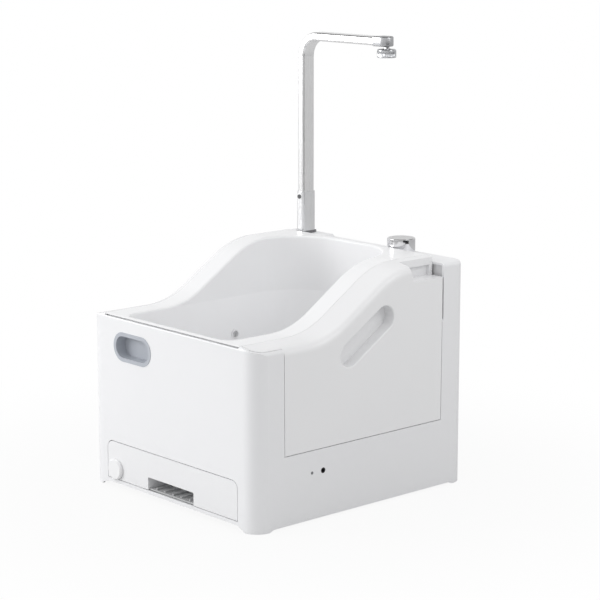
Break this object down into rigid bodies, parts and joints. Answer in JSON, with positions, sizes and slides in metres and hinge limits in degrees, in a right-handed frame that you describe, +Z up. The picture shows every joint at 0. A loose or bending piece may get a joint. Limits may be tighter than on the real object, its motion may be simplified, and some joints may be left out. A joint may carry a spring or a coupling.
{
  "type": "pet bathtub",
  "caption": "Box-shaped pet bath with a lift-out tub, swept side rims, a filter drawer, a flow knob and a swivelling shower spout.",
  "frame": {"origin": "middle of the footprint on the floor", "axes": "+X to the right side, +Y to the rear deck, +Z up"},
  "size_m": [0.43, 0.482, 0.7565],
  "materials": {
    "white_shell": "satin gloss, moulded ABS",
    "white_tub": "gloss, moulded",
    "white_drawer": "satin gloss, moulded",
    "white_knob": "gloss, moulded",
    "white_inner": "matte, moulded",
    "grey_base": "matte, moulded",
    "rubber": "matte",
    "steel": "plain",
    "strainer_steel": "brushed",
    "mesh_steel": "etched mesh",
    "grey_trim": "matte",
    "grey_liner": "fine matte texture",
    "grey_grip": "soft satin",
    "sleeve_satin": "satin",
    "pipe_chrome": "bright satin chrome",
    "elbow_satin": "satin",
    "chrome_trim": "polished",
    "nozzle_metal": "knurled",
    "nozzle_rubber": "matte",
    "dark_button": "matte",
    "cap_satin": "fine satin",
    "black_plastic": "matte",
    "led_lens": "smoked lens",
    "hose_clear": "milky silicone",
    "board_green": "circuit board"
  },
  "bodies": {
    "housing": {"housing": "white_shell", "inner_tray": "white_inner", "base_plate": "grey_base", "foot_front_left": "rubber", "foot_front_right": "rubber", "foot_rear_left": "rubber", "foot_rear_right": "rubber", "base_screws": "steel", "drawer_runner_right": "grey_base", "drawer_runner_left": "grey_base", "grip_insert": "grey_grip", "spout_collar": "rubber", "spout_bush": "white_inner", "bush_nut": "grey_base", "spout_hose_barb": "grey_base", "knob_sensor": "black_plastic", "dc_jack": "black_plastic", "jack_pin": "steel", "status_led": "led_lens", "led_holder": "black_plastic", "pump": "black_plastic", "pump_cradle": "grey_base", "riser_hose": "hose_clear", "suction_hose": "hose_clear", "hose_clips": "steel", "suction_coupler": "grey_base", "control_board": "board_green", "board_spacers": "steel"},
    "tub": {"tub": "white_tub", "side_panel_right": "white_tub", "side_panel_left": "white_tub", "drain_gasket": "rubber", "overflow_port": "grey_trim"},
    "strainer": {"drain_strainer": "strainer_steel"},
    "drawer": {"filter_drawer": "white_drawer", "drawer_pull_liner": "grey_liner", "filter_frame": "grey_liner", "filter_screen": "mesh_steel", "drain_seal": "rubber"},
    "drain_valve": {"drain_knob": "white_knob", "drain_stem": "grey_trim"},
    "spout": {"spout_sleeve": "sleeve_satin"},
    "lock_button": {"sleeve_lock_button": "dark_button"},
    "pipe": {"spout_pipe": "pipe_chrome", "spout_elbow": "elbow_satin"},
    "nozzle": {"nozzle_neck": "chrome_trim", "nozzle_body": "nozzle_metal", "nozzle_face": "nozzle_rubber"},
    "knob": {"control_knob": "chrome_trim", "knob_cap": "cap_satin", "knob_shaft": "steel"}
  },
  "joints": [
    {"name": "tub_lift", "type": "slide", "parent": "housing", "child": "tub", "axis": [0, 0, 1], "range_m": [0, 0.3]},
    {"name": "strainer_lift", "type": "slide", "parent": "tub", "child": "strainer", "axis": [0, 0, 1], "range_m": [0, 0.05]},
    {"name": "drawer_slide", "type": "slide", "parent": "housing", "child": "drawer", "axis": [0, -1, 0], "range_m": [0, 0.2]},
    {"name": "drain_knob_turn", "type": "hinge", "parent": "drawer", "child": "drain_valve", "pos_m": [-0.148, -0.238, 0.0337], "axis": [0, 1, 0], "range_deg": [0, 90]},
    {"name": "spout_swivel", "type": "hinge", "parent": "housing", "child": "spout", "pos_m": [-0.16, 0.207, 0.4], "axis": [0, 0, 1], "range_deg": [-120, 30]},
    {"name": "lock_button_press", "type": "slide", "parent": "spout", "child": "lock_button", "axis": [0, 1, 0], "range_m": [0, 0.001], "stiffness_N_per_m": 400},
    {"name": "pipe_lift", "type": "slide", "parent": "spout", "child": "pipe", "axis": [0, 0, 1], "range_m": [0, 0.07]},
    {"name": "nozzle_tilt", "type": "hinge", "parent": "pipe", "child": "nozzle", "pos_m": [0.046, 0.207, 0.7425], "axis": [0, 1, 0], "range_deg": [-15, 15]},
    {"name": "knob_turn", "type": "hinge", "parent": "housing", "child": "knob", "pos_m": [0.086, 0.207, 0.388], "axis": [0, 0, 1], "range_deg": [-135, 135]}
  ]
}
